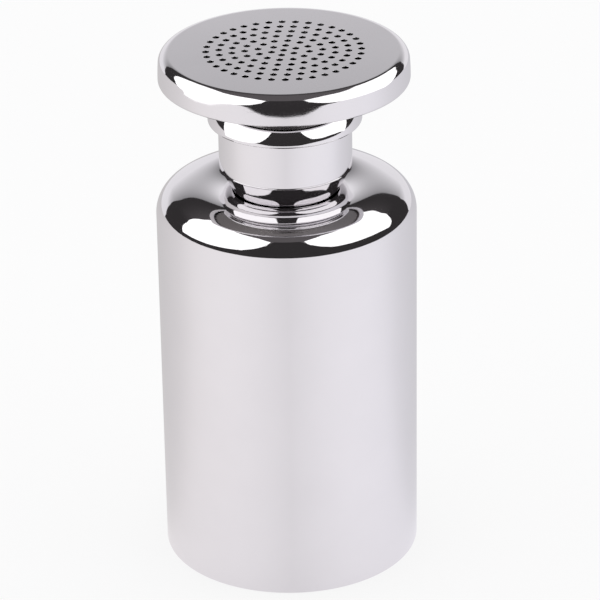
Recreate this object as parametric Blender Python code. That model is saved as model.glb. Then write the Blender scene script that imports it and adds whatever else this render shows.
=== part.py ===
"""Seasoning shaker pressed from thin steel sheet, with a perforated screw cap.

Every piece is turned about the Z axis. A pressing is the skin that its outline sweeps, thickened to the sheet's
wall behind it. The bottle stands on z = 0, and the cap turns and rises along Z on the neck's thread.
Lengths are in metres, outlines are (radius, height) points, and each runs with the outside on its right.
"""
import math

import bmesh
import bpy

# Fits
FIT_GAP = 0.0003            # between pieces that touch or rest on each other
HEM_CLEARANCE = 0.0006      # radial, between the bell's rolled edge and the collar
THREAD_ROOM = 0.0010        # radial, between the neck's finish and the insert, for the two threads

# Bottle
BODY_RADIUS = 0.0325
BODY_WALL = 0.0006
FOOT_EDGE_RADIUS = 0.0008
FOOT_WIDTH = 0.0030         # flat standing ring inside the rounded foot edge
SHOULDER_START = 0.0920     # top of the straight side
CORNER_RADIUS = 0.0075      # tight arc from the side into the shoulder
CORNER_SWEEP = 61.0         # degrees
CROWN_RADIUS = 0.0100       # wider arc from the corner up to the shoulder's crown
MOUTH_DROP = 0.0024         # the mouth's edge lies this far below the crown
MOUTH_RADIUS = 0.0136

# Base plate
BASE_WALL = 0.0006
BASE_PANEL_RADIUS = 0.0235
BASE_PANEL_LIFT = 0.0010
BASE_STEP_WIDTH = 0.0012

# Neck
NECK_WALL = 0.0006
NECK_DEPTH = 0.0030         # how far the taper reaches below the mouth
COLLAR_RADIUS = 0.01655
COLLAR_RISE = 0.0079        # mouth to the lower end of the straight collar
COLLAR_EDGE_RADIUS = 0.0050
COLLAR_HEIGHT = 0.0124      # straight collar, up to the ledge
LEDGE_RADIUS = 0.0008       # rounding at both ends of the ledge
FINISH_RADIUS = 0.0137      # neck above the ledge, without its thread
FINISH_HEIGHT = 0.0055      # ledge to rim

# Cap
CAP_WALL = 0.0006
BELL_RADIUS = 0.0191
BELL_OVERLAP = 0.0013       # how far the bell's edge hangs below the ledge
BELL_LIP_RADIUS = 0.0008
BELL_LEAN = 10.0            # degrees the bell's side leans inward right above its lip
FLARE_RADIUS = 0.0116       # arc of the bell's side
STEM_FILLET = 0.0025
INSERT_WALL = 0.0007
INSERT_FLANGE = 0.0007
SEAL_THICKNESS = 0.0012

# Head
HEAD_RADIUS = 0.03125
HEAD_HEIGHT = 0.0075
HEAD_WALL = 0.0006
SIDE_RADIUS = 0.0240        # wide arc of the head's side
SIDE_LEAN = 5.0             # degrees the side leans inward right above its hem
SIDE_END = 16.5             # degrees it leans where the rim begins
RIM_RADIUS = 0.0022         # tight arc from the side into the flat top
HEM_RADIUS = 0.0008
HEM_WIDTH = 0.0014          # flat of the hem inside its rounded edge
PAN_WALL = 0.0006
PAN_RISE = 0.0031           # rim of the pan above its seat
PAN_SEAT_WIDTH = 0.0015     # flat of the seat outside the stem
PAN_RIM_WIDTH = 0.0022

# Pouring holes, in rings of six times the ring's number around one in the middle
HOLE_RADIUS = 0.00080
HOLE_PITCH = 0.00318
HOLE_RINGS = 6
HOLES_PER_RING = 6
HOLE_PHASE = math.radians(20.8)

# Facets
TURN_STEPS = 36
HOLE_SIDES = 8
MERGE = 1e-6

# Colours
STEEL = (0.78, 0.77, 0.76)
NATURAL_PLASTIC = (0.86, 0.86, 0.83)
SILICONE = (0.80, 0.80, 0.79)

# Places that follow from the sizes above
corner_end = math.radians(CORNER_SWEEP)
crown_place = BODY_RADIUS - CORNER_RADIUS + (CORNER_RADIUS - CROWN_RADIUS) * math.cos(corner_end)
crown_centre = SHOULDER_START + (CORNER_RADIUS - CROWN_RADIUS) * math.sin(corner_end)
crown_height = crown_centre + CROWN_RADIUS
mouth_run = crown_place - MOUTH_RADIUS
mouth_height = crown_height - MOUTH_DROP
collar_start = mouth_height + COLLAR_RISE
ledge_height = collar_start + COLLAR_HEIGHT
rim_height = ledge_height + FINISH_HEIGHT
bore_radius = FINISH_RADIUS - NECK_WALL
insert_inner = FINISH_RADIUS + THREAD_ROOM
insert_outer = insert_inner + INSERT_WALL
stem_inner = insert_outer + FIT_GAP
stem_radius = stem_inner + CAP_WALL
seal_height = rim_height + FIT_GAP
seat_height = seal_height + SEAL_THICKNESS + FIT_GAP
bell_edge = ledge_height - BELL_OVERLAP
lip_place = BELL_RADIUS - BELL_LIP_RADIUS
lip_height = bell_edge + BELL_LIP_RADIUS
flare_place = lip_place + (BELL_LIP_RADIUS - FLARE_RADIUS) * math.cos(math.radians(BELL_LEAN))
flare_height = lip_height + (BELL_LIP_RADIUS - FLARE_RADIUS) * math.sin(math.radians(BELL_LEAN))
head_bottom = seat_height + PAN_RISE - FIT_GAP - HEAD_WALL
head_top = head_bottom + HEAD_HEIGHT


def clear_scene():
    """Remove every object of the scene."""
    for thing in list(bpy.data.objects):
        bpy.data.objects.remove(thing, do_unlink=True)


def arc(centre, radius, start, end, steps):
    """Points of an arc in the (radius, height) plane, from start to end in degrees."""
    points = []
    for i in range(steps + 1):
        angle = math.radians(start + (end - start) * i / steps)
        points.append((centre[0] + radius * math.cos(angle), centre[1] + radius * math.sin(angle)))
    return points


def tangent_angle(centre, radius, point):
    """Angle in degrees where a line from a point below touches the arc's lower outer side."""
    across = point[0] - centre[0]
    along = point[1] - centre[1]
    swing = math.acos(radius / math.hypot(across, along))
    return math.degrees(math.atan2(along, across) + swing)


def make_material(name, colour, metallic, roughness):
    """A plain Principled material."""
    material = bpy.data.materials.new(name)
    material.use_nodes = True
    shader = material.node_tree.nodes["Principled BSDF"]
    shader.inputs["Base Color"].default_value = (*colour, 1.0)
    shader.inputs["Metallic"].default_value = metallic
    shader.inputs["Roughness"].default_value = roughness
    return material


def turn(outline, closed=False):
    """Sweep an outline clockwise about Z, which puts the normals on its right, and return the bmesh."""
    bm = bmesh.new()
    verts = [bm.verts.new((radius, 0.0, height)) for radius, height in outline]
    edges = [bm.edges.new(pair) for pair in zip(verts, verts[1:])]
    if closed:
        edges.append(bm.edges.new((verts[-1], verts[0])))
    bmesh.ops.spin(bm, geom=verts + edges, cent=(0, 0, 0), axis=(0, 0, 1), angle=-2 * math.pi,
                   steps=TURN_STEPS, use_merge=True)
    bmesh.ops.remove_doubles(bm, verts=bm.verts, dist=MERGE)
    return bm


def add_piece(name, bm, material, parent=None):
    """Link a bmesh as a named piece that turns about the shared axis."""
    mesh = bpy.data.meshes.new(name)
    bm.to_mesh(mesh)
    bm.free()
    mesh.materials.append(material)
    piece = bpy.data.objects.new(name, mesh)
    bpy.context.collection.objects.link(piece)
    piece.parent = parent
    return piece


def add_wall(piece, wall):
    """Thicken a skin to the sheet's wall, behind its normals."""
    solidify = piece.modifiers.new("wall", "SOLIDIFY")
    solidify.thickness = wall
    solidify.offset = -1.0
    solidify.use_even_offset = True


def add_axis(name, parent=None):
    """An empty on the turning axis."""
    axis = bpy.data.objects.new(name, None)
    bpy.context.collection.objects.link(axis)
    axis.parent = parent
    return axis


def make_body_shell():
    """Can from its turned-in foot, up the side, over the shoulder and down to the mouth."""
    foot_edge = BODY_RADIUS - FOOT_EDGE_RADIUS
    outline = [(foot_edge - FOOT_WIDTH, 0.0)]
    outline += arc((foot_edge, FOOT_EDGE_RADIUS), FOOT_EDGE_RADIUS, -90, 0, 2)
    outline += arc((BODY_RADIUS - CORNER_RADIUS, SHOULDER_START), CORNER_RADIUS, 0, CORNER_SWEEP, 4)
    outline += arc((crown_place, crown_centre), CROWN_RADIUS, CORNER_SWEEP, 90, 3)[1:]
    fall_radius = (mouth_run ** 2 + MOUTH_DROP ** 2) / (2 * MOUTH_DROP)
    fall = math.degrees(math.asin(mouth_run / fall_radius))
    outline += arc((crown_place, crown_height - fall_radius), fall_radius, 90, 90 + fall, 3)[1:]
    shell = add_piece("body_shell", turn(outline), make_material("body_shell", STEEL, 1.0, 0.08))
    add_wall(shell, BODY_WALL)


def make_base_plate():
    """Disc on the turned-in foot, with a raised panel in the middle."""
    edge = BODY_RADIUS - BODY_WALL - FIT_GAP
    height = BODY_WALL + FIT_GAP
    outline = [
        (0.0, height + BASE_PANEL_LIFT),
        (BASE_PANEL_RADIUS, height + BASE_PANEL_LIFT),
        (BASE_PANEL_RADIUS + BASE_STEP_WIDTH, height),
        (edge, height),
    ]
    plate = add_piece("base_plate", turn(outline), make_material("base_plate", STEEL, 1.0, 0.30))
    add_wall(plate, BASE_WALL)


def make_neck():
    """Tapered tube through the mouth, its collar, the ledge and the finish for the thread."""
    edge_centre = (COLLAR_RADIUS - COLLAR_EDGE_RADIUS, collar_start)
    seat = (MOUTH_RADIUS - FIT_GAP, mouth_height)
    touch = tangent_angle(edge_centre, COLLAR_EDGE_RADIUS, seat)
    collar_edge = arc(edge_centre, COLLAR_EDGE_RADIUS, touch, 0, 2)
    taper = (collar_edge[0][0] - seat[0]) / (collar_edge[0][1] - seat[1])
    outline = [(seat[0] - taper * NECK_DEPTH, seat[1] - NECK_DEPTH)] + collar_edge
    outline += arc((COLLAR_RADIUS - LEDGE_RADIUS, ledge_height - LEDGE_RADIUS), LEDGE_RADIUS, 0, 90, 2)
    outline += arc((FINISH_RADIUS + LEDGE_RADIUS, ledge_height + LEDGE_RADIUS), LEDGE_RADIUS, 270, 180, 2)
    outline += [(FINISH_RADIUS, rim_height)]
    neck = add_piece("neck", turn(outline), make_material("neck", STEEL, 1.0, 0.08))
    add_wall(neck, NECK_WALL)


def make_cap_bell(parent):
    """Skirt from its rolled-in edge up a rounded flare to the stem under the head."""
    reach = FLARE_RADIUS + STEM_FILLET
    fillet_place = stem_radius + STEM_FILLET
    turn_over = math.acos((fillet_place - flare_place) / reach)
    fillet_height = flare_height + reach * math.sin(turn_over)
    flare_end = math.degrees(turn_over)
    outline = [(COLLAR_RADIUS + HEM_CLEARANCE, bell_edge)]
    outline += arc((lip_place, lip_height), BELL_LIP_RADIUS, -90, BELL_LEAN, 3)
    outline += arc((flare_place, flare_height), FLARE_RADIUS, BELL_LEAN, flare_end, 3)[1:]
    outline += arc((fillet_place, fillet_height), STEM_FILLET, 180 + flare_end, 180, 2)[1:]
    outline += [(stem_radius, seat_height - FIT_GAP)]
    bell = add_piece("cap_bell", turn(outline), make_material("cap_bell", STEEL, 1.0, 0.08), parent)
    add_wall(bell, CAP_WALL)


def make_thread_insert(parent):
    """Sleeve in the stem, with a flange that fits the bell's inside."""
    bottom = ledge_height + FIT_GAP
    flange_top = bottom + INSERT_FLANGE
    inside = FLARE_RADIUS - CAP_WALL
    flange_outer = flare_place + math.sqrt(inside ** 2 - (flange_top - flare_height) ** 2) - FIT_GAP
    section = [
        (insert_inner, bottom),
        (flange_outer, bottom),
        (flange_outer, flange_top),
        (insert_outer, flange_top),
        (insert_outer, rim_height),
        (insert_inner, rim_height),
    ]
    add_piece("thread_insert", turn(section, closed=True),
              make_material("thread_insert", NATURAL_PLASTIC, 0.0, 0.45), parent)


def make_seal_ring(parent):
    """Washer between the neck's rim and the pan's seat."""
    outer = stem_inner - FIT_GAP
    top = seal_height + SEAL_THICKNESS
    section = [(bore_radius, seal_height), (outer, seal_height), (outer, top), (bore_radius, top)]
    add_piece("seal_ring", turn(section, closed=True), make_material("seal_ring", SILICONE, 0.0, 0.55), parent)


def make_head_pan(parent):
    """Dish from the seat over the seal, rising to a flat rim that lies on the head's hem."""
    rim = seat_height + PAN_RISE
    edge = HEAD_RADIUS - HEAD_WALL - FIT_GAP
    outline = [
        (bore_radius, seat_height),
        (stem_radius + PAN_SEAT_WIDTH, seat_height),
        (edge - PAN_RIM_WIDTH, rim),
        (edge, rim),
    ]
    pan = add_piece("head_pan", turn(outline), make_material("head_pan", STEEL, 1.0, 0.12), parent)
    add_wall(pan, PAN_WALL)


def make_hole_punches():
    """Cutters for the pouring holes, one prism to a hole."""
    places = [(0.0, 0.0)]
    for ring in range(1, HOLE_RINGS + 1):
        count = HOLES_PER_RING * ring
        for i in range(count):
            angle = HOLE_PHASE + 2 * math.pi * i / count
            places.append((ring * HOLE_PITCH * math.cos(angle), ring * HOLE_PITCH * math.sin(angle)))
    bm = bmesh.new()
    for x, y in places:
        made = bmesh.ops.create_cone(bm, cap_ends=True, segments=HOLE_SIDES, radius1=HOLE_RADIUS,
                                     radius2=HOLE_RADIUS, depth=4 * HEAD_WALL)
        bmesh.ops.translate(bm, verts=made["verts"], vec=(x, y, head_top))
    punches = add_piece("hole_punches", bm, make_material("hole_punches", STEEL, 1.0, 0.5))
    punches.hide_render = True
    punches.display_type = "WIRE"
    return punches


def make_shaker_top(parent):
    """Head cover from its hem, up the side and over the rim to the flat, perforated top."""
    hem_centre = (HEAD_RADIUS - HEM_RADIUS, head_bottom + HEM_RADIUS)
    lean = math.radians(SIDE_LEAN)
    end = math.radians(SIDE_END)
    rim_centre = head_top - RIM_RADIUS
    side_height = rim_centre - (SIDE_RADIUS - RIM_RADIUS) * math.sin(end)
    outline = [(hem_centre[0] - HEM_WIDTH, head_bottom)]
    outline += arc(hem_centre, HEM_RADIUS, -90, SIDE_LEAN, 2)
    straight = side_height + SIDE_RADIUS * math.sin(lean) - outline[-1][1]
    side_place = outline[-1][0] - straight * math.tan(lean) - SIDE_RADIUS * math.cos(lean)
    rim_place = side_place + (SIDE_RADIUS - RIM_RADIUS) * math.cos(end)
    outline += arc((side_place, side_height), SIDE_RADIUS, SIDE_LEAN, SIDE_END, 2)
    outline += arc((rim_place, rim_centre), RIM_RADIUS, SIDE_END, 90, 4)[1:]
    bm = turn(outline)
    flat_edge = [v for v in bm.verts if abs(v.co.z - head_top) < MERGE]
    bm.faces.new(sorted(flat_edge, key=lambda v: math.atan2(v.co.y, v.co.x)))
    top = add_piece("shaker_top", bm, make_material("shaker_top", STEEL, 1.0, 0.10), parent)
    add_wall(top, HEAD_WALL)
    cut = top.modifiers.new("pouring_holes", "BOOLEAN")
    cut.operation = "DIFFERENCE"
    cut.solver = "EXACT"
    cut.object = make_hole_punches()


def main():
    """Build the bottle, then the cap on its two axes."""
    clear_scene()
    make_body_shell()
    make_base_plate()
    make_neck()
    cap_rise = add_axis("cap_rise")
    cap_turn = add_axis("cap_turn", cap_rise)
    make_seal_ring(cap_rise)
    make_thread_insert(cap_turn)
    make_cap_bell(cap_turn)
    make_head_pan(cap_turn)
    make_shaker_top(cap_turn)


main()
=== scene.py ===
"""Looks of the polished steel spice shaker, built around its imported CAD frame.

Every piece is a surface worked out with numpy. A pressing is a bent-sheet section turned about the Z axis,
the perforated top joins such a section to a flat web of punched holes, and the screw threads are ridges
carried along a helix. Lengths are in metres, and sections are (radius, height) points that run with the
outside on their right. Shoulder, collar, head and holes are fitted to the photo's outline, so they differ
a little from the solids.
"""

import math

import bmesh
import bpy
import numpy as np
from mathutils import Matrix, Vector
from mathutils.geometry import delaunay_2d_cdt


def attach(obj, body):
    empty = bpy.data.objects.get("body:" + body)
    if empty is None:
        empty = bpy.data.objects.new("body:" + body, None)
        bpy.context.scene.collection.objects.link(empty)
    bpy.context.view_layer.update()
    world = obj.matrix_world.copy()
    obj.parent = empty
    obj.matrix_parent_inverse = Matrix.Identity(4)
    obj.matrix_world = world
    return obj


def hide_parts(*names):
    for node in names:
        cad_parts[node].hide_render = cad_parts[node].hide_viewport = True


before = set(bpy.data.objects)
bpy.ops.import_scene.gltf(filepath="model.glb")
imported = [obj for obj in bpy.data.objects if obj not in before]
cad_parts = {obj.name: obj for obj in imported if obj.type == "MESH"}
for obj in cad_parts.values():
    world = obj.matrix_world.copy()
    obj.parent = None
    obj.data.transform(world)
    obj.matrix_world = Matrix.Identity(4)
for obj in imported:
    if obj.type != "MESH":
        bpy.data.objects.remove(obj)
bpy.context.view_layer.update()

# Bottle
BODY_RADIUS = 0.0325
SHEET = 0.0006
FOOT_EDGE_RADIUS = 0.0008
FOOT_WIDTH = 0.0030
SHOULDER_START = 0.0922
CORNER_RADIUS = 0.0069
CORNER_SWEEP = 67.0
CROWN_RADIUS = 0.0195
MOUTH_DROP = 0.00173
MOUTH_RADIUS = 0.0135
FIT_GAP = 0.0003

# Base plate
PANEL_RADIUS = 0.0235
PANEL_LIFT = 0.0010
PANEL_STEP = 0.0012
PANEL_STEP_ROUND = 0.0005

# Neck
NECK_DEPTH = 0.0030
COLLAR_RADIUS = 0.01655
COLLAR_RISE = 0.0066
COLLAR_EDGE_RADIUS = 0.0012
COLLAR_HEIGHT = 0.0127
LEDGE_RADIUS = 0.0008
FINISH_RADIUS = 0.0137
FINISH_HEIGHT = 0.0055

# Cap
HEM_CLEARANCE = 0.0006
BELL_RADIUS = 0.0191
BELL_OVERLAP = 0.0013
BELL_LIP_RADIUS = 0.0008
BELL_LEAN = 10.0
FLARE_RADIUS = 0.0116
STEM_FILLET = 0.0025
THREAD_ROOM = 0.0010
INSERT_WALL = 0.0007
INSERT_FLANGE = 0.0007
INSERT_ROUND = 0.00018
SEAL_THICKNESS = 0.0012
SEAL_ROUND = 0.00035

# Head
HEAD_RADIUS = 0.03104
HEAD_HEIGHT = 0.00753
SIDE_RADIUS = 0.0670
SIDE_LEAN = 0.5
SIDE_END = 4.0
RIM_RADIUS = 0.0026
HEM_RADIUS = 0.0010
HEM_WIDTH = 0.0014
PAN_RISE = 0.0031
PAN_SEAT_WIDTH = 0.0015
PAN_RIM_WIDTH = 0.0022
PAN_ROUND = 0.0016

# Pouring holes
HOLE_RADIUS = 0.00085
HOLE_LIP = 0.00005
HOLE_PITCH = 0.00318
HOLE_RINGS = 6
HOLES_PER_RING = 6
HOLE_PHASE = math.radians(20.8)
HOLE_SIDES = 28
WEB_RADIUS = 0.0215

# Thread
PITCH = 0.0030
RIDGE_HEIGHT = 0.00055
RIDGE_HALF_WIDTH = 0.00062
NECK_THREAD_TURNS = 1.15
NECK_THREAD_LIFT = 0.0012
NECK_THREAD_START = 0.0
INSERT_THREAD_TURNS = 1.15
INSERT_THREAD_LIFT = 0.0011
INSERT_THREAD_START = 1.1 * math.pi
RIDGE_EASE = 0.10
RIDGE_ROOT = 0.97
RIDGE_STEPS = 260
RIDGE_COLUMNS = 17

SEGMENTS = 240
SAME_POINT = 1e-7

# Steel, plastic and silicone
MIRROR_COLOUR = (0.80, 0.785, 0.80)
# Painted shade: the pan's steel colour is darkened well below the mirror steel to stand in for the shade
# under the head
PAN_SHADE_COLOUR = (0.20, 0.19, 0.187)
SATIN_COLOUR = (0.70, 0.69, 0.68)
PLASTIC_TONES = ((0.86, 0.86, 0.83), (0.80, 0.80, 0.76))
SILICONE_TONES = ((0.80, 0.80, 0.79), (0.74, 0.74, 0.73))
STEEL_BUMP = 0.00001
MOULDED_BUMP = 0.00005
SCATTER_RADIUS = (0.0010, 0.0009, 0.0008)
RING_SCALE = 9000.0
RING_WANDER = 0.00004
SMEAR_SCALE = 55.0
SMEAR_RANGE = (0.52, 0.80)
SMEAR_DULL = 0.05
SMEAR_TINT = -0.06
TINT_BASE = 1.03
HAIR_SCALE = (260.0, 260.0, 2600.0)
HAIR_TURN = (0.35, 0.22, 0.0)
HAIR_WIDTH = 0.006
HAIR_ROUGHNESS = 0.10
HAIR_DEPTH = -0.6
PATCH_SCALE = 140.0
PATCH_RANGE = (0.58, 0.66)
CLOUD_SCALE = 180.0

# Studio, in metres and radiance
FLOOR_HALF = 3.0
FLOOR_COLOUR = (0.90, 0.90, 0.90)
FLOOR_LIFT = 0.82
FLOOR_FRONT = 0.85
FLOOR_LEVELS = ((0.37, 0.97), (0.62, 0.76))
FLOOR_BACK = 0.50
LEFT_CAST = (1.0, 0.965, 0.975)
RIGHT_CAST = (1.03, 1.015, 1.075)
CAST_TURN = 1.6
# Cards around the shaker: (degrees to the right of the front, low edge, high edge)
LEFT_PANEL = (
    (-18, 0.172, 0.232), (-25, 0.138, 0.256), (-34, 0.119, 0.288), (-45, 0.113, 0.322), (-60, 0.108, 0.340),
    (-75, 0.106, 0.340), (-88, 0.106, 0.330), (-94, 0.125, 0.325), (-100, 0.150, 0.318),
    (-117, 0.184, 0.305), (-130, 0.208, 0.285), (-140, 0.228, 0.250))
RIGHT_PANEL = (
    (19, 0.178, 0.236), (26, 0.148, 0.262), (35, 0.128, 0.292), (50, 0.124, 0.332), (63, 0.123, 0.365),
    (78, 0.119, 0.355), (88, 0.113, 0.340), (95, 0.125, 0.330), (105, 0.150, 0.320), (123, 0.182, 0.300),
    (140, 0.192, 0.275), (146, 0.205, 0.235))
FRONT_FLAG = (
    (-38, 0.1180, 0.119), (-30, 0.1135, 0.128), (-22, 0.1095, 0.150), (-14, 0.107, 0.240),
    (0, 0.106, 0.240), (14, 0.107, 0.240), (22, 0.110, 0.155), (32, 0.115, 0.135), (42, 0.121, 0.123))
CARD_RADIUS = 0.100
CARD_STEP = 2.0
PANEL_WHITE = (1.0, 1.0, 1.0)
PANEL_STRENGTH = 1.5
# Outline of the wall behind: (across, up)
BACK_WALL = (
    (-1.38, 0.0), (1.30, 0.0), (1.30, 0.12), (0.86, 0.66), (0.46, 0.78), (0.0, 0.81), (-0.53, 0.81),
    (-0.97, 0.59), (-1.38, 0.2))
WALL_BACK = 1.2
WALL_FADE = (0.42, 0.80)
WALL_STRENGTH = 0.88
WALL_TOP_STRENGTH = 0.30
WALL_COLOUR = (1.0, 0.985, 1.02)
ROOM_LOW = 0.035
ROOM_HIGH = 0.11
ROOM_RISE = (0.5, 0.92)
ROOM_COLOUR = (1.0, 0.92, 0.96)
ROOM_DIFFUSE = (0.95, 0.95, 0.96)

# Camera: degrees, metres, and millimetres for the lens
CAMERA_PITCH = 25.816
CAMERA_YAW = 0.2175
CAMERA_ROLL = -0.924
CAMERA_PLACE = (0.0, -0.79042, 0.44917)
CAMERA_SENSOR = 36.0
CAMERA_LENS = 208.34

# Places that follow from the sizes above, by the same steps as in the part's source
corner_end = math.radians(CORNER_SWEEP)
crown_place = BODY_RADIUS - CORNER_RADIUS + (CORNER_RADIUS - CROWN_RADIUS) * math.cos(corner_end)
crown_centre = SHOULDER_START + (CORNER_RADIUS - CROWN_RADIUS) * math.sin(corner_end)
crown_height = crown_centre + CROWN_RADIUS
mouth_height = crown_height - MOUTH_DROP
collar_start = mouth_height + COLLAR_RISE
ledge_height = collar_start + COLLAR_HEIGHT
rim_height = ledge_height + FINISH_HEIGHT
bore_radius = FINISH_RADIUS - SHEET
insert_inner = FINISH_RADIUS + THREAD_ROOM
insert_outer = insert_inner + INSERT_WALL
stem_inner = insert_outer + FIT_GAP
stem_radius = stem_inner + SHEET
seal_height = rim_height + FIT_GAP
seat_height = seal_height + SEAL_THICKNESS + FIT_GAP
bell_edge = ledge_height - BELL_OVERLAP
head_bottom = seat_height + PAN_RISE - FIT_GAP - SHEET
head_top = head_bottom + HEAD_HEIGHT


# Shapes

def arc(centre, radius, start, end, count):
    """Arc: centre plus radius times the cosine and sine of an even run of angles, in degrees."""
    angle = np.radians(np.linspace(start, end, count))
    return np.stack([centre[0] + radius * np.cos(angle), centre[1] + radius * np.sin(angle)], axis=1)


def straight(start, end, count):
    """Straight run whose points crowd towards both ends, as the cosine of an even run of angles does."""
    share = 0.5 - 0.5 * np.cos(np.linspace(0.0, math.pi, count))
    return np.asarray(start) + share[:, None] * (np.asarray(end) - np.asarray(start))


def joined(*runs):
    """One outline from runs that follow each other, without the points that repeat where they meet."""
    points = np.concatenate(runs)
    step = np.linalg.norm(np.diff(points, axis=0), axis=1)
    return points[np.concatenate([[True], step > SAME_POINT])]


def rightwards(outline):
    """Unit vectors to the right of an outline: its tangent, the sum of the unit steps on both sides,
    turned."""
    step = np.diff(outline, axis=0)
    step /= np.linalg.norm(step, axis=1, keepdims=True)
    tangent = np.concatenate([step[:1], step[:-1] + step[1:], step[-1:]])
    tangent /= np.linalg.norm(tangent, axis=1, keepdims=True)
    return np.stack([tangent[:, 1], -tangent[:, 0]], axis=1)


def edge_round(start, end, count=9):
    """Half-round sheet edge from start to end: half a circle on their distance, bulging to its left."""
    centre = (start + end) / 2
    arm = start - centre
    side = np.array([-arm[1], arm[0]])
    angle = np.linspace(0.0, math.pi, count)[1:-1, None]
    return centre + arm * np.cos(angle) + side * np.sin(angle)


def sheet_section(outline, wall):
    """Closed section of bent sheet: the outline, its copy one wall to the left, a half-round at each edge."""
    inner = outline - wall * rightwards(outline)
    far_edge = edge_round(outline[-1], inner[-1])
    near_edge = edge_round(inner[0], outline[0])
    return np.concatenate([outline, far_edge, inner[::-1], near_edge])


def rounded_section(corners, radius, count=5):
    """Closed section with straight sides and rounded corners: a corner gives way to a quadratic curve that
    touches both sides at the setback of an arc of that radius."""
    corners = np.asarray(corners, float)
    before = np.roll(corners, 1, axis=0) - corners
    after = np.roll(corners, -1, axis=0) - corners
    before /= np.linalg.norm(before, axis=1, keepdims=True)
    after /= np.linalg.norm(after, axis=1, keepdims=True)
    half = 0.5 * np.arccos(np.clip((before * after).sum(1), -1, 1))
    setback = (radius / np.tan(half))[:, None, None]
    t = np.linspace(0.0, 1.0, count)[None, :, None]
    curve = corners[:, None] + setback * ((1 - t) ** 2 * before[:, None] + t ** 2 * after[:, None])
    return curve.reshape(-1, 2)


def turned_grid(section, segments=SEGMENTS):
    """Surface of revolution: (radius, height) at angle a becomes (radius cos a, radius sin a, height)."""
    angle = np.linspace(0.0, 2 * math.pi, segments, endpoint=False)
    ring = np.stack([np.cos(angle), np.sin(angle)], axis=1)
    across = ring[:, None, :] * section[None, :, :1]
    up = np.broadcast_to(section[None, :, 1:], (segments, len(section), 1))
    return np.concatenate([across, up], axis=2)


def grid_faces(rows, columns, closed_rows, closed_columns):
    """Quads of a grid of points, its last row and column joined to the first where the grid is closed."""
    i = np.arange(rows if closed_rows else rows - 1)[:, None]
    j = np.arange(columns if closed_columns else columns - 1)[None, :]
    i2, j2 = (i + 1) % rows, (j + 1) % columns
    corners = (i * columns + j, i2 * columns + j, i2 * columns + j2, i * columns + j2)
    return np.stack(np.broadcast_arrays(*corners), axis=-1).reshape(-1, 4)


def add_piece(name, points, faces, material, merge=0.0, flat=0):
    """Link points and faces as a smooth piece at the origin, its meeting points merged where it has poles.
    The last faces stay flat, as many as flat says."""
    mesh = bpy.data.meshes.new(name)
    mesh.from_pydata(np.asarray(points).reshape(-1, 3).tolist(), [], [list(face) for face in faces])
    if merge:
        bm = bmesh.new()
        bm.from_mesh(mesh)
        bmesh.ops.remove_doubles(bm, verts=bm.verts, dist=merge)
        bm.to_mesh(mesh)
        bm.free()
    smooth = np.arange(len(mesh.polygons)) < len(mesh.polygons) - flat
    mesh.polygons.foreach_set("use_smooth", smooth)
    mesh.materials.append(material)
    mesh.update()
    piece = bpy.data.objects.new(name, mesh)
    bpy.context.collection.objects.link(piece)
    return piece


def add_turned(name, section, material, closed=True, merge=0.0):
    """A closed section, or a profile between two points on the axis, turned about Z."""
    grid = turned_grid(section)
    faces = grid_faces(grid.shape[0], grid.shape[1], True, closed)
    return add_piece(name, grid, faces, material, merge)


def body_section():
    """Can: turned-in foot, straight side, tight corner, crown, and the arc that falls to the mouth."""
    foot = BODY_RADIUS - FOOT_EDGE_RADIUS
    run = crown_place - MOUTH_RADIUS
    fall_radius = (run ** 2 + MOUTH_DROP ** 2) / (2 * MOUTH_DROP)
    fall = math.degrees(math.asin(run / fall_radius))
    outline = joined(
        straight((foot - FOOT_WIDTH, 0.0), (foot, 0.0), 5),
        arc((foot, FOOT_EDGE_RADIUS), FOOT_EDGE_RADIUS, -90, 0, 10),
        straight((BODY_RADIUS, FOOT_EDGE_RADIUS), (BODY_RADIUS, SHOULDER_START), 24),
        arc((BODY_RADIUS - CORNER_RADIUS, SHOULDER_START), CORNER_RADIUS, 0, CORNER_SWEEP, 36),
        arc((crown_place, crown_centre), CROWN_RADIUS, CORNER_SWEEP, 90, 20),
        arc((crown_place, crown_height - fall_radius), fall_radius, 90, 90 + fall, 22))
    return sheet_section(outline, SHEET)


def base_profile():
    """Disc with a raised panel: the underside from the axis out, the half-round edge, the top side back."""
    edge = BODY_RADIUS - SHEET - FIT_GAP
    low = SHEET + FIT_GAP
    high = low + PANEL_LIFT
    slope = math.degrees(math.atan2(PANEL_LIFT, PANEL_STEP))
    half = PANEL_STEP_ROUND * math.tan(math.radians(slope) / 2)
    inner_centre = (PANEL_RADIUS - half, high - PANEL_STEP_ROUND)
    outer_centre = (PANEL_RADIUS + PANEL_STEP + half, low + PANEL_STEP_ROUND)
    inner_bend = arc(inner_centre, PANEL_STEP_ROUND, 90, 90 - slope, 8)
    outer_bend = arc(outer_centre, PANEL_STEP_ROUND, 270 - slope, 270, 8)
    outline = joined(
        straight((0.0, high), inner_bend[0], 18),
        inner_bend,
        straight(inner_bend[-1], outer_bend[0], 4),
        outer_bend,
        straight(outer_bend[-1], (edge, low), 10))
    inner = outline - SHEET * rightwards(outline)
    return np.concatenate([outline, edge_round(outline[-1], inner[-1]), inner[::-1]])


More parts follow.
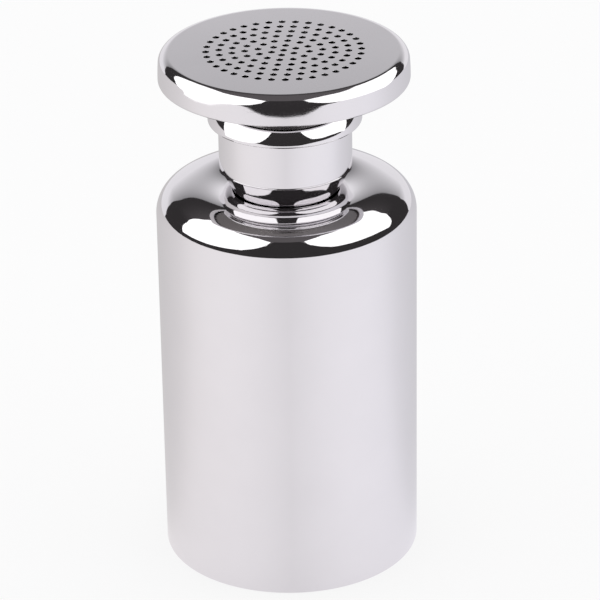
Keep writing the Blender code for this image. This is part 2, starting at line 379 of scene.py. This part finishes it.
def neck_section():
    """Neck: tapered tube through the mouth, rounded collar, ledge with both its roundings, and the finish."""
    centre = np.array([COLLAR_RADIUS - COLLAR_EDGE_RADIUS, collar_start])
    seat = np.array([MOUTH_RADIUS - FIT_GAP, mouth_height])
    across, along = seat - centre
    half = math.acos(COLLAR_EDGE_RADIUS / math.hypot(across, along))
    touch = math.degrees(math.atan2(along, across) + half)
    bend = arc(centre, COLLAR_EDGE_RADIUS, touch, 0, 24)
    taper = (bend[0] - seat) / (bend[0, 1] - seat[1])
    outline = joined(
        straight(seat - taper * NECK_DEPTH, bend[0], 16),
        bend,
        straight(bend[-1], (COLLAR_RADIUS, ledge_height - LEDGE_RADIUS), 10),
        arc((COLLAR_RADIUS - LEDGE_RADIUS, ledge_height - LEDGE_RADIUS), LEDGE_RADIUS, 0, 90, 9),
        arc((FINISH_RADIUS + LEDGE_RADIUS, ledge_height + LEDGE_RADIUS), LEDGE_RADIUS, 270, 180, 9),
        straight((FINISH_RADIUS, ledge_height + LEDGE_RADIUS), (FINISH_RADIUS, rim_height), 10))
    return sheet_section(outline, SHEET)


def bell_section():
    """Bell: rolled-in edge, rounded lip, wide flare, and the fillet into the stem under the head."""
    lip = np.array([BELL_RADIUS - BELL_LIP_RADIUS, bell_edge + BELL_LIP_RADIUS])
    lean = math.radians(BELL_LEAN)
    flare = lip + (BELL_LIP_RADIUS - FLARE_RADIUS) * np.array([math.cos(lean), math.sin(lean)])
    reach = FLARE_RADIUS + STEM_FILLET
    turn_over = math.acos((stem_radius + STEM_FILLET - flare[0]) / reach)
    fillet = np.array([stem_radius + STEM_FILLET, flare[1] + reach * math.sin(turn_over)])
    end = math.degrees(turn_over)
    outline = joined(
        straight((COLLAR_RADIUS + HEM_CLEARANCE, bell_edge), (lip[0], bell_edge), 5),
        arc(lip, BELL_LIP_RADIUS, -90, BELL_LEAN, 16),
        arc(flare, FLARE_RADIUS, BELL_LEAN, end, 26),
        arc(fillet, STEM_FILLET, 180 + end, 180, 14),
        straight((stem_radius, fillet[1]), (stem_radius, seat_height - FIT_GAP), 5))
    return sheet_section(outline, SHEET), flare


def pan_section():
    """Pan: seat over the seal, rounded bends on both ends of the dish's slope, the rim on the head's hem."""
    rim = seat_height + PAN_RISE
    edge = HEAD_RADIUS - SHEET - FIT_GAP
    low = np.array([stem_radius + PAN_SEAT_WIDTH, seat_height])
    high = np.array([edge - PAN_RIM_WIDTH, rim])
    slope = math.degrees(math.atan2(high[1] - low[1], high[0] - low[0]))
    half = PAN_ROUND * math.tan(math.radians(slope) / 2)
    low_bend = arc((low[0] - half, low[1] + PAN_ROUND), PAN_ROUND, 270, 270 + slope, 8)
    high_bend = arc((high[0] + half, high[1] - PAN_ROUND), PAN_ROUND, 90 + slope, 90, 8)
    outline = joined(
        straight((bore_radius, seat_height), low_bend[0], 6),
        low_bend,
        straight(low_bend[-1], high_bend[0], 12),
        high_bend,
        straight(high_bend[-1], (edge, rim), 6))
    return sheet_section(outline, SHEET)


def head_section():
    """Head cover: hem, nearly upright side on a wide arc, rim, and the flat top in to the web of holes."""
    hem = np.array([HEAD_RADIUS - HEM_RADIUS, head_bottom + HEM_RADIUS])
    lean, end = math.radians(SIDE_LEAN), math.radians(SIDE_END)
    rim_up = head_top - RIM_RADIUS
    side_up = rim_up - (SIDE_RADIUS - RIM_RADIUS) * math.sin(end)
    hem_arc = arc(hem, HEM_RADIUS, -90, SIDE_LEAN, 14)
    side_rise = side_up + SIDE_RADIUS * math.sin(lean) - hem_arc[-1, 1]
    side_in = hem_arc[-1, 0] - side_rise * math.tan(lean) - SIDE_RADIUS * math.cos(lean)
    rim_in = side_in + (SIDE_RADIUS - RIM_RADIUS) * math.cos(end)
    side = arc((side_in, side_up), SIDE_RADIUS, SIDE_LEAN, SIDE_END, 18)
    outline = joined(
        straight((hem[0] - HEM_WIDTH, head_bottom), hem_arc[0], 5),
        hem_arc,
        straight(hem_arc[-1], side[0], 4),
        side,
        arc((rim_in, rim_up), RIM_RADIUS, SIDE_END, 90, 30),
        straight((rim_in, head_top), (WEB_RADIUS, head_top), 10))
    inner = outline - SHEET * rightwards(outline)
    return np.concatenate([inner[::-1], edge_round(inner[0], outline[0]), outline])


def hole_places():
    """Centres of the holes: one in the middle, then six times k of them on ring k, k pitches out."""
    ring = np.repeat(np.arange(1, HOLE_RINGS + 1), HOLES_PER_RING * np.arange(1, HOLE_RINGS + 1))
    first = np.concatenate([[0], np.cumsum(HOLES_PER_RING * np.arange(1, HOLE_RINGS))])
    index = np.arange(len(ring)) - first[ring - 1]
    angle = HOLE_PHASE + 2 * math.pi * index / (HOLES_PER_RING * ring)
    around = HOLE_PITCH * ring[:, None] * np.stack([np.cos(angle), np.sin(angle)], axis=1)
    return np.concatenate([[[0.0, 0.0]], around])


def add_shaker_top(material):
    """Perforated head cover as one closed mesh.

    The turned cover ends in a ring on both faces of the flat. A hole is a profile turned about its own
    centre: a quarter-round lip, the wall, and a quarter-round lip below. The flat web between the ring and
    the holes is the constrained Delaunay triangulation of their edges, laid once on each face.
    """
    cover = turned_grid(head_section())
    places = hole_places()
    top_lip = arc((HOLE_RADIUS + HOLE_LIP, head_top - HOLE_LIP), HOLE_LIP, 90, 180, 6)
    low = head_top - SHEET
    low_lip = arc((HOLE_RADIUS + HOLE_LIP, low + HOLE_LIP), HOLE_LIP, 180, 270, 6)
    hole = np.concatenate([top_lip, low_lip])
    holes = np.tile(turned_grid(hole, HOLE_SIDES)[None], (len(places), 1, 1, 1))
    holes[..., :2] += places[:, None, None, :]
    columns = cover.shape[1]
    count = len(hole)
    cover_faces = grid_faces(SEGMENTS, columns, True, False)
    one_hole = grid_faces(HOLE_SIDES, count, True, False)[:, ::-1]
    start = cover.shape[0] * columns
    hole_start = start + np.arange(len(places)) * HOLE_SIDES * count
    hole_faces = (one_hole[None] + hole_start[:, None, None]).reshape(-1, 4)
    points = np.concatenate([cover.reshape(-1, 3), holes.reshape(-1, 3)])

    def web(cover_column, hole_row):
        outer = np.arange(SEGMENTS) * columns + cover_column
        inner = (hole_start[:, None] + np.arange(HOLE_SIDES) * count + hole_row)
        index = np.concatenate([outer, inner.ravel()])
        sizes = [SEGMENTS] + [HOLE_SIDES] * len(places)
        offsets = np.concatenate([[0], np.cumsum(sizes)[:-1]])
        edges = [(o + k, o + (k + 1) % n) for o, n in zip(offsets, sizes) for k in range(n)]
        flat = [Vector(p) for p in points[index][:, :2]]
        _, _, faces, _, _, _ = delaunay_2d_cdt(flat, edges, [], 0, 1e-9)
        faces = np.array([f for f in faces if len(f) == 3])
        middle = points[index][faces][:, :, :2].mean(axis=1)
        near = np.linalg.norm(middle[:, None] - places[None], axis=2).min(axis=1)
        return index[faces[near > HOLE_RADIUS + 0.9 * HOLE_LIP]]

    top_web = web(columns - 1, 0)
    low_web = web(0, count - 1)[:, ::-1]
    faces = [*cover_faces, *hole_faces, *top_web, *low_web]
    return add_piece("perforated_top", points, faces, material, flat=len(top_web) + len(low_web))


def helix_ridge(name, radius, outward, start_height, turns, start_angle, material):
    """Screw ridge: a raised-cosine bump carried along a helix, its height easing to nothing at both ends.

    Along the helix the angle runs on and the height climbs a pitch a turn. Across it the bump stands out
    of the wall by half of one plus the cosine, and its root runs a little way into the wall.
    """
    along = np.linspace(0.0, 1.0, RIDGE_STEPS)
    across = np.linspace(-1.0, 1.0, RIDGE_COLUMNS)
    ease = np.clip(np.minimum(along, 1 - along) / RIDGE_EASE, 0.0, 1.0)
    ease = ease * ease * (3 - 2 * ease)
    angle = start_angle + 2 * math.pi * turns * along
    bump = (0.5 + 0.5 * np.cos(math.pi * across))[None] * ease[:, None] * RIDGE_HEIGHT
    sink = 0.5 * FIT_GAP
    ridge_radius = radius + outward * (bump - sink * (np.abs(across)[None] > RIDGE_ROOT))
    height = start_height + PITCH * turns * along[:, None] + RIDGE_HALF_WIDTH * across[None]
    around = np.stack([np.cos(angle), np.sin(angle)], axis=1)
    grid = np.concatenate([ridge_radius[:, :, None] * around[:, None], height[:, :, None]], axis=2)
    back_height = start_height + PITCH * turns * along
    back = np.concatenate([(radius - outward * sink) * around, back_height[:, None]], axis=1)[:, None]
    grid = np.concatenate([grid, back], axis=1)
    faces = grid_faces(grid.shape[0], grid.shape[1], False, True)
    if outward > 0:
        faces = faces[:, ::-1]
    columns = grid.shape[1]
    first_cap = list(range(columns))[::outward]
    last_cap = [(grid.shape[0] - 1) * columns + k for k in range(columns)][::-outward]
    return add_piece(name, grid, [*faces, first_cap, last_cap], material)


# Finishes

def new_group(name, inputs, outputs):
    """A shader node group with named inputs and outputs."""
    group = bpy.data.node_groups.new(name, "ShaderNodeTree")
    for label, kind, default in inputs:
        group.interface.new_socket(label, in_out="INPUT", socket_type=kind).default_value = default
    for label, kind in outputs:
        group.interface.new_socket(label, in_out="OUTPUT", socket_type=kind)
    return group, group.nodes.new("NodeGroupInput"), group.nodes.new("NodeGroupOutput")


def node(tree, kind, links=(), **settings):
    """A node with its settings, and its inputs set to plain values or linked to sockets."""
    made = tree.nodes.new(kind)
    for key, value in settings.items():
        setattr(made, key, value)
    for key, value in dict(links).items():
        if isinstance(value, bpy.types.NodeSocket):
            tree.links.new(value, made.inputs[key])
        else:
            made.inputs[key].default_value = value
    return made


def math_node(tree, operation, first, second=0.0, third=0.0):
    """The result of one math operation."""
    return node(tree, "ShaderNodeMath", {0: first, 1: second, 2: third}, operation=operation).outputs[0]


def noise(tree, place, scale, detail, roughness=0.5):
    """Noise of a place, as one number."""
    values = {"Vector": place, "Scale": scale, "Detail": detail, "Roughness": roughness}
    return node(tree, "ShaderNodeTexNoise", values).outputs["Fac"]


def map_range(tree, value, given, wanted=(0.0, 1.0), **settings):
    """A value moved from one range of numbers to another, and held inside it."""
    values = {"Value": value, "From Min": given[0], "From Max": given[1],
              "To Min": wanted[0], "To Max": wanted[1]}
    return node(tree, "ShaderNodeMapRange", values, **settings).outputs[0]


def turned_polish_group():
    """What polishing leaves on turned steel, as one group.

    Rings: fine noise of radius and height, hardly changing around the axis. Smears: broad noise of the
    place, where fingers have dulled the shine. Hairlines: thin crests of a stretched noise, as single fine
    scratches.
    """
    group, given, result = new_group("turned_polish", [
        ("Rings", "NodeSocketFloat", 0.5), ("Smears", "NodeSocketFloat", 0.5),
        ("Hairlines", "NodeSocketFloat", 0.5), ("Shine", "NodeSocketFloat", 0.03)],
        [("Roughness", "NodeSocketFloat"), ("Height", "NodeSocketFloat"), ("Tint", "NodeSocketFloat")])
    place = node(group, "ShaderNodeTexCoord").outputs["Object"]
    axes = node(group, "ShaderNodeSeparateXYZ", {0: place})
    squared = math_node(group, "MULTIPLY_ADD", axes.outputs["X"], axes.outputs["X"],
                        math_node(group, "MULTIPLY", axes.outputs["Y"], axes.outputs["Y"]))
    radius = math_node(group, "SQRT", squared)
    around = math_node(group, "ARCTAN2", axes.outputs["Y"], axes.outputs["X"])
    wander = math_node(group, "MULTIPLY", around, RING_WANDER)
    ring_place = node(group, "ShaderNodeCombineXYZ", {"X": radius, "Y": axes.outputs["Z"], "Z": wander})
    rings = noise(group, ring_place.outputs[0], RING_SCALE, 3.0, 0.6)
    smears = noise(group, place, SMEAR_SCALE, 4.0, 0.55)
    hair_place = node(group, "ShaderNodeMapping", {"Vector": place, "Scale": HAIR_SCALE,
                                                   "Rotation": HAIR_TURN})
    hair = noise(group, hair_place.outputs[0], 1.0, 1.5)
    off_middle = math_node(group, "ABSOLUTE", math_node(group, "SUBTRACT", hair, 0.5))
    crest = map_range(group, off_middle, (0.0, HAIR_WIDTH), (1.0, 0.0))
    patches = noise(group, place, PATCH_SCALE, 2.0)
    sparse = map_range(group, patches, PATCH_RANGE)
    crossings = math_node(group, "MULTIPLY", crest, sparse)
    hairlines = math_node(group, "MULTIPLY", crossings, given.outputs["Hairlines"])
    dull = map_range(group, smears, SMEAR_RANGE, (0.0, SMEAR_DULL))
    roughness = math_node(group, "MULTIPLY_ADD", dull, given.outputs["Smears"], given.outputs["Shine"])
    roughness = math_node(group, "MULTIPLY_ADD", hairlines, HAIR_ROUGHNESS, roughness)
    ring_bump = math_node(group, "MULTIPLY", rings, given.outputs["Rings"])
    height = math_node(group, "MULTIPLY_ADD", hairlines, HAIR_DEPTH, ring_bump)
    tint = math_node(group, "MULTIPLY_ADD", smears, SMEAR_TINT, TINT_BASE)
    group.links.new(roughness, result.inputs["Roughness"])
    group.links.new(height, result.inputs["Height"])
    group.links.new(tint, result.inputs["Tint"])
    return group


def grain_group():
    """Moulded grain, as one group: fine mottled noise for height, broad noise for a faint cloud of tone."""
    group, given, result = new_group("moulded_grain", [("Scale", "NodeSocketFloat", 4000.0)],
                                     [("Height", "NodeSocketFloat"), ("Cloud", "NodeSocketFloat")])
    place = node(group, "ShaderNodeTexCoord").outputs["Object"]
    fine = noise(group, place, given.outputs["Scale"], 3.0)
    broad = noise(group, place, CLOUD_SCALE, 2.0)
    group.links.new(fine, result.inputs["Height"])
    group.links.new(broad, result.inputs["Cloud"])
    return group


def steel_material(name, polish, colour, shine, rings, smears, hairlines, bump):
    """Stainless steel: its colour times the polish's tint, and the polish's roughness and height."""
    material = bpy.data.materials.new(name)
    material.use_nodes = True
    tree = material.node_tree
    shader = tree.nodes["Principled BSDF"]
    shader.inputs["Metallic"].default_value = 1.0
    group = node(tree, "ShaderNodeGroup", node_tree=polish)
    for label, value in (("Rings", rings), ("Smears", smears), ("Hairlines", hairlines), ("Shine", shine)):
        group.inputs[label].default_value = value
    toned = node(tree, "ShaderNodeMix", {"Factor": 1.0, 6: (*colour, 1.0), 7: group.outputs["Tint"]},
                 data_type="RGBA", blend_type="MULTIPLY")
    raised = node(tree, "ShaderNodeBump", {"Strength": bump, "Distance": STEEL_BUMP,
                                           "Height": group.outputs["Height"]})
    tree.links.new(toned.outputs[2], shader.inputs["Base Color"])
    tree.links.new(group.outputs["Roughness"], shader.inputs["Roughness"])
    tree.links.new(raised.outputs[0], shader.inputs["Normal"])
    return material


def moulded_material(name, grain, tones, roughness, scale, bump, scatter):
    """Moulded plastic or silicone: two close tones mixed by the cloud, and the grain's height."""
    material = bpy.data.materials.new(name)
    material.use_nodes = True
    tree = material.node_tree
    shader = tree.nodes["Principled BSDF"]
    shader.inputs["Roughness"].default_value = roughness
    shader.inputs["Subsurface Weight"].default_value = scatter
    shader.inputs["Subsurface Radius"].default_value = SCATTER_RADIUS
    group = node(tree, "ShaderNodeGroup", {"Scale": scale}, node_tree=grain)
    pale, dark = tones
    toned = node(tree, "ShaderNodeMix", {"Factor": group.outputs["Cloud"], 6: (*dark, 1.0), 7: (*pale, 1.0)},
                 data_type="RGBA")
    raised = node(tree, "ShaderNodeBump", {"Strength": bump, "Distance": MOULDED_BUMP,
                                           "Height": group.outputs["Height"]})
    tree.links.new(toned.outputs[2], shader.inputs["Base Color"])
    tree.links.new(raised.outputs[0], shader.inputs["Normal"])
    return material


# Studio

def add_stage(name, points, faces, material):
    """A part of the studio, which isn't part of the shaker."""
    mesh = bpy.data.meshes.new(name)
    mesh.from_pydata(points, [], faces)
    mesh.materials.append(material)
    thing = bpy.data.objects.new(name, mesh)
    bpy.context.collection.objects.link(thing)
    return thing


def plain_tree(name):
    """A material with an empty node tree."""
    material = bpy.data.materials.new(name)
    material.use_nodes = True
    material.node_tree.nodes.clear()
    return material, material.node_tree


def curtain(outline):
    """A strip around the shaker: (degrees to the right of the front, low edge, high edge), with straight
    runs between, on a cylinder about the Z axis."""
    aside, low, high = np.array(outline, float).T
    order = np.argsort(aside)
    turn = np.arange(aside.min(), aside.max() + CARD_STEP / 2, CARD_STEP)
    around = CARD_RADIUS * np.stack([np.sin(np.radians(turn)), -np.cos(np.radians(turn))], axis=1)
    edges = [np.interp(turn, aside[order], edge[order])[:, None] for edge in (low, high)]
    return np.stack([np.concatenate([around, edge], axis=1) for edge in edges], axis=1)


def add_card(name, corners, faces, colour, strength, fade=None):
    """A lit card that the steel mirrors and the camera doesn't see; fade names heights where it dims away."""
    material, tree = plain_tree(name)
    glow = node(tree, "ShaderNodeEmission", {"Color": (*colour, 1.0), "Strength": strength})
    if fade:
        place = node(tree, "ShaderNodeTexCoord").outputs["Object"]
        height = node(tree, "ShaderNodeSeparateXYZ", {0: place}).outputs["Z"]
        dim = map_range(tree, height, fade, (strength, WALL_TOP_STRENGTH))
        tree.links.new(dim, glow.inputs["Strength"])
    node(tree, "ShaderNodeOutputMaterial", {"Surface": glow.outputs[0]})
    card = add_stage(name, corners, faces, material)
    card.visible_camera = False
    card.visible_shadow = False


def add_floor():
    """Pale floor: diffuse white that keeps a shadow, lifted towards white for the camera and towards pools
    of light for the steel. The pools' level is a curve over the angle from the front, alike on both sides,
    and their cast runs from left to right."""
    material, tree = plain_tree("floor")
    rays = node(tree, "ShaderNodeLightPath")
    place = node(tree, "ShaderNodeSeparateXYZ", {0: node(tree, "ShaderNodeTexCoord").outputs["Object"]})
    forward = math_node(tree, "MULTIPLY", place.outputs["Y"], -1.0)
    around = math_node(tree, "ARCTAN2", place.outputs["X"], forward)
    aside = math_node(tree, "ABSOLUTE", around)
    pool = node(tree, "ShaderNodeFloatCurve", {"Value": math_node(tree, "DIVIDE", aside, math.pi)})
    curve = pool.mapping.curves[0]
    for point, (turn, level) in zip(curve.points, ((0.0, FLOOR_FRONT), (1.0, FLOOR_BACK))):
        point.location = (turn, level)
    for turn, level in FLOOR_LEVELS:
        curve.points.new(turn, level)
    pool.mapping.update()
    side = map_range(tree, around, (-CAST_TURN, CAST_TURN))
    cast = node(tree, "ShaderNodeMix", {"Factor": side, 6: (*LEFT_CAST, 1.0), 7: (*RIGHT_CAST, 1.0)},
                data_type="RGBA")
    pools = node(tree, "ShaderNodeEmission", {"Color": cast.outputs[2], "Strength": pool.outputs[0]})
    white = node(tree, "ShaderNodeEmission", {"Color": (1.0, 1.0, 1.0, 1.0), "Strength": 1.0})
    plain = node(tree, "ShaderNodeBsdfDiffuse", {"Color": (*FLOOR_COLOUR, 1.0)})
    mirrored = math_node(tree, "MAXIMUM", rays.outputs["Is Glossy Ray"], rays.outputs["Is Transmission Ray"])
    pool_share = math_node(tree, "MULTIPLY", mirrored, FLOOR_LIFT)
    lit = node(tree, "ShaderNodeMixShader", {0: pool_share, 1: plain.outputs[0], 2: pools.outputs[0]})
    white_share = math_node(tree, "MULTIPLY", rays.outputs["Is Camera Ray"], FLOOR_LIFT)
    shown = node(tree, "ShaderNodeMixShader", {0: white_share, 1: lit.outputs[0], 2: white.outputs[0]})
    node(tree, "ShaderNodeOutputMaterial", {"Surface": shown.outputs[0]})
    half = FLOOR_HALF
    corners = [(-half, -half, 0), (half, -half, 0), (half, half, 0), (-half, half, 0)]
    add_stage("floor", corners, [(0, 1, 2, 3)], material)


def add_studio():
    """Two curved light panels beside the shaker, a dark flag between them under the camera, a wall behind
    that dims upwards, and a dark room over all of them."""
    for name, outline, colour, strength in (("left_panel", LEFT_PANEL, PANEL_WHITE, PANEL_STRENGTH),
                                            ("right_panel", RIGHT_PANEL, PANEL_WHITE, PANEL_STRENGTH),
                                            ("front_flag", FRONT_FLAG, ROOM_COLOUR, ROOM_LOW)):
        strip = curtain(outline)
        faces = grid_faces(len(strip), 2, False, False)
        add_card(name, strip.reshape(-1, 3).tolist(), faces.tolist(), colour, strength)
    wall = [(x, WALL_BACK, z) for x, z in BACK_WALL]
    add_card("back_wall", wall, [list(range(len(wall)))], WALL_COLOUR, WALL_STRENGTH, WALL_FADE)
    world = bpy.data.worlds.new("studio")
    bpy.context.scene.world = world
    world.use_nodes = True
    tree = world.node_tree
    tree.nodes.clear()
    rays = node(tree, "ShaderNodeLightPath")
    aim = node(tree, "ShaderNodeSeparateXYZ", {0: node(tree, "ShaderNodeTexCoord").outputs["Generated"]})
    rise = map_range(tree, aim.outputs["Z"], ROOM_RISE, (ROOM_LOW, ROOM_HIGH),
                     interpolation_type="SMOOTHSTEP")
    room = node(tree, "ShaderNodeBackground", {"Color": (*ROOM_DIFFUSE, 1.0), "Strength": 1.0})
    dark = node(tree, "ShaderNodeBackground", {"Color": (*ROOM_COLOUR, 1.0), "Strength": rise})
    white = node(tree, "ShaderNodeBackground", {"Color": (1.0, 1.0, 1.0, 1.0), "Strength": 1.0})
    mirrored = node(tree, "ShaderNodeMixShader", {0: rays.outputs["Is Glossy Ray"], 1: room.outputs[0],
                                                  2: dark.outputs[0]})
    shown = node(tree, "ShaderNodeMixShader", {0: rays.outputs["Is Camera Ray"], 1: mirrored.outputs[0],
                                               2: white.outputs[0]})
    node(tree, "ShaderNodeOutputWorld", {"Surface": shown.outputs[0]})


def add_camera():
    """Camera at the photograph's viewing angle: looking down the pitch, turned by the yaw, tilted by the
    roll."""
    pitch, yaw, roll = (math.radians(angle) for angle in (CAMERA_PITCH, CAMERA_YAW, CAMERA_ROLL))
    forward = np.array([math.sin(yaw) * math.cos(pitch), math.cos(yaw) * math.cos(pitch), -math.sin(pitch)])
    level = np.array([math.cos(yaw), -math.sin(yaw), 0.0])
    rise = np.cross(level, forward)
    right = math.cos(roll) * level + math.sin(roll) * rise
    up = -math.sin(roll) * level + math.cos(roll) * rise
    data = bpy.data.cameras.new("camera")
    data.sensor_width = CAMERA_SENSOR
    data.lens = CAMERA_LENS
    camera = bpy.data.objects.new("camera", data)
    bpy.context.collection.objects.link(camera)
    placed = Matrix(np.column_stack([right, up, -forward]).tolist()).to_4x4()
    placed.translation = CAMERA_PLACE
    camera.matrix_world = placed
    bpy.context.scene.camera = camera


# The shaker

bpy.context.scene.view_settings.view_transform = "Standard"
add_camera()
add_floor()
add_studio()

polish = turned_polish_group()
grain = grain_group()
mirror_steel = steel_material("mirror_steel", polish, MIRROR_COLOUR, shine=0.035, rings=0.5, smears=0.6,
                              hairlines=0.5, bump=0.15)
top_steel = steel_material("top_steel", polish, MIRROR_COLOUR, shine=0.05, rings=0.6, smears=0.8,
                           hairlines=0.6, bump=0.2)
# The pan is polished steel like the rest; its dark colour is painted shade under the head
shaded_pan_steel = steel_material("shaded_pan_steel", polish, PAN_SHADE_COLOUR, shine=0.26, rings=1.0, smears=1.0,
                           hairlines=0.6, bump=0.4)
satin_steel = steel_material("satin_steel", polish, SATIN_COLOUR, shine=0.28, rings=1.0, smears=1.0,
                             hairlines=1.0, bump=0.8)
natural_plastic = moulded_material("natural_plastic", grain, PLASTIC_TONES, roughness=0.45, scale=5000.0,
                                   bump=0.25, scatter=0.3)
silicone = moulded_material("silicone", grain, SILICONE_TONES, roughness=0.55, scale=3000.0, bump=0.2,
                            scatter=0.4)

shell = add_turned("bottle_shell", body_section(), mirror_steel)
plate = add_turned("base_panel", base_profile(), satin_steel, closed=False, merge=SAME_POINT)
throat = add_turned("neck_tube", neck_section(), mirror_steel)
bell_loop, flare_centre = bell_section()
bell = add_turned("flared_bell", bell_loop, mirror_steel)
pan = add_turned("dished_pan", pan_section(), shaded_pan_steel)

flange_low = ledge_height + FIT_GAP
flange_top = flange_low + INSERT_FLANGE
inside = FLARE_RADIUS - SHEET
flange_edge = flare_centre[0] + math.sqrt(inside ** 2 - (flange_top - flare_centre[1]) ** 2) - FIT_GAP
insert = add_turned("threaded_sleeve", rounded_section([
    (insert_inner, flange_low), (flange_edge, flange_low), (flange_edge, flange_top),
    (insert_outer, flange_top), (insert_outer, rim_height), (insert_inner, rim_height)],
    INSERT_ROUND), natural_plastic)
seal_outer = stem_inner - FIT_GAP
seal = add_turned("sealing_washer", rounded_section([
    (bore_radius, seal_height), (seal_outer, seal_height), (seal_outer, seal_height + SEAL_THICKNESS),
    (bore_radius, seal_height + SEAL_THICKNESS)], SEAL_ROUND), silicone)
top = add_shaker_top(top_steel)
neck_ridge = helix_ridge("neck_thread", FINISH_RADIUS, 1, ledge_height + NECK_THREAD_LIFT,
                         NECK_THREAD_TURNS, NECK_THREAD_START, mirror_steel)
insert_ridge = helix_ridge("sleeve_thread", insert_inner, -1, flange_low + INSERT_THREAD_LIFT,
                           INSERT_THREAD_TURNS, INSERT_THREAD_START, natural_plastic)

for piece, body, replaced, slot in (
        (shell, "bottle", "body_shell", "polished_steel"), (plate, "bottle", "base_plate", "satin_steel"),
        (throat, "bottle", "neck", "polished_steel"), (bell, "cap", "cap_bell", "polished_steel"),
        (insert, "cap", "thread_insert", "natural_plastic"), (pan, "cap", "head_pan", "polished_steel"),
        (top, "cap", "shaker_top", "polished_steel"), (seal, "seal", "seal_ring", "silicone"),
        (neck_ridge, "bottle", None, "polished_steel"), (insert_ridge, "cap", None, "natural_plastic")):
    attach(piece, body)
    if replaced:
        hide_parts(replaced)
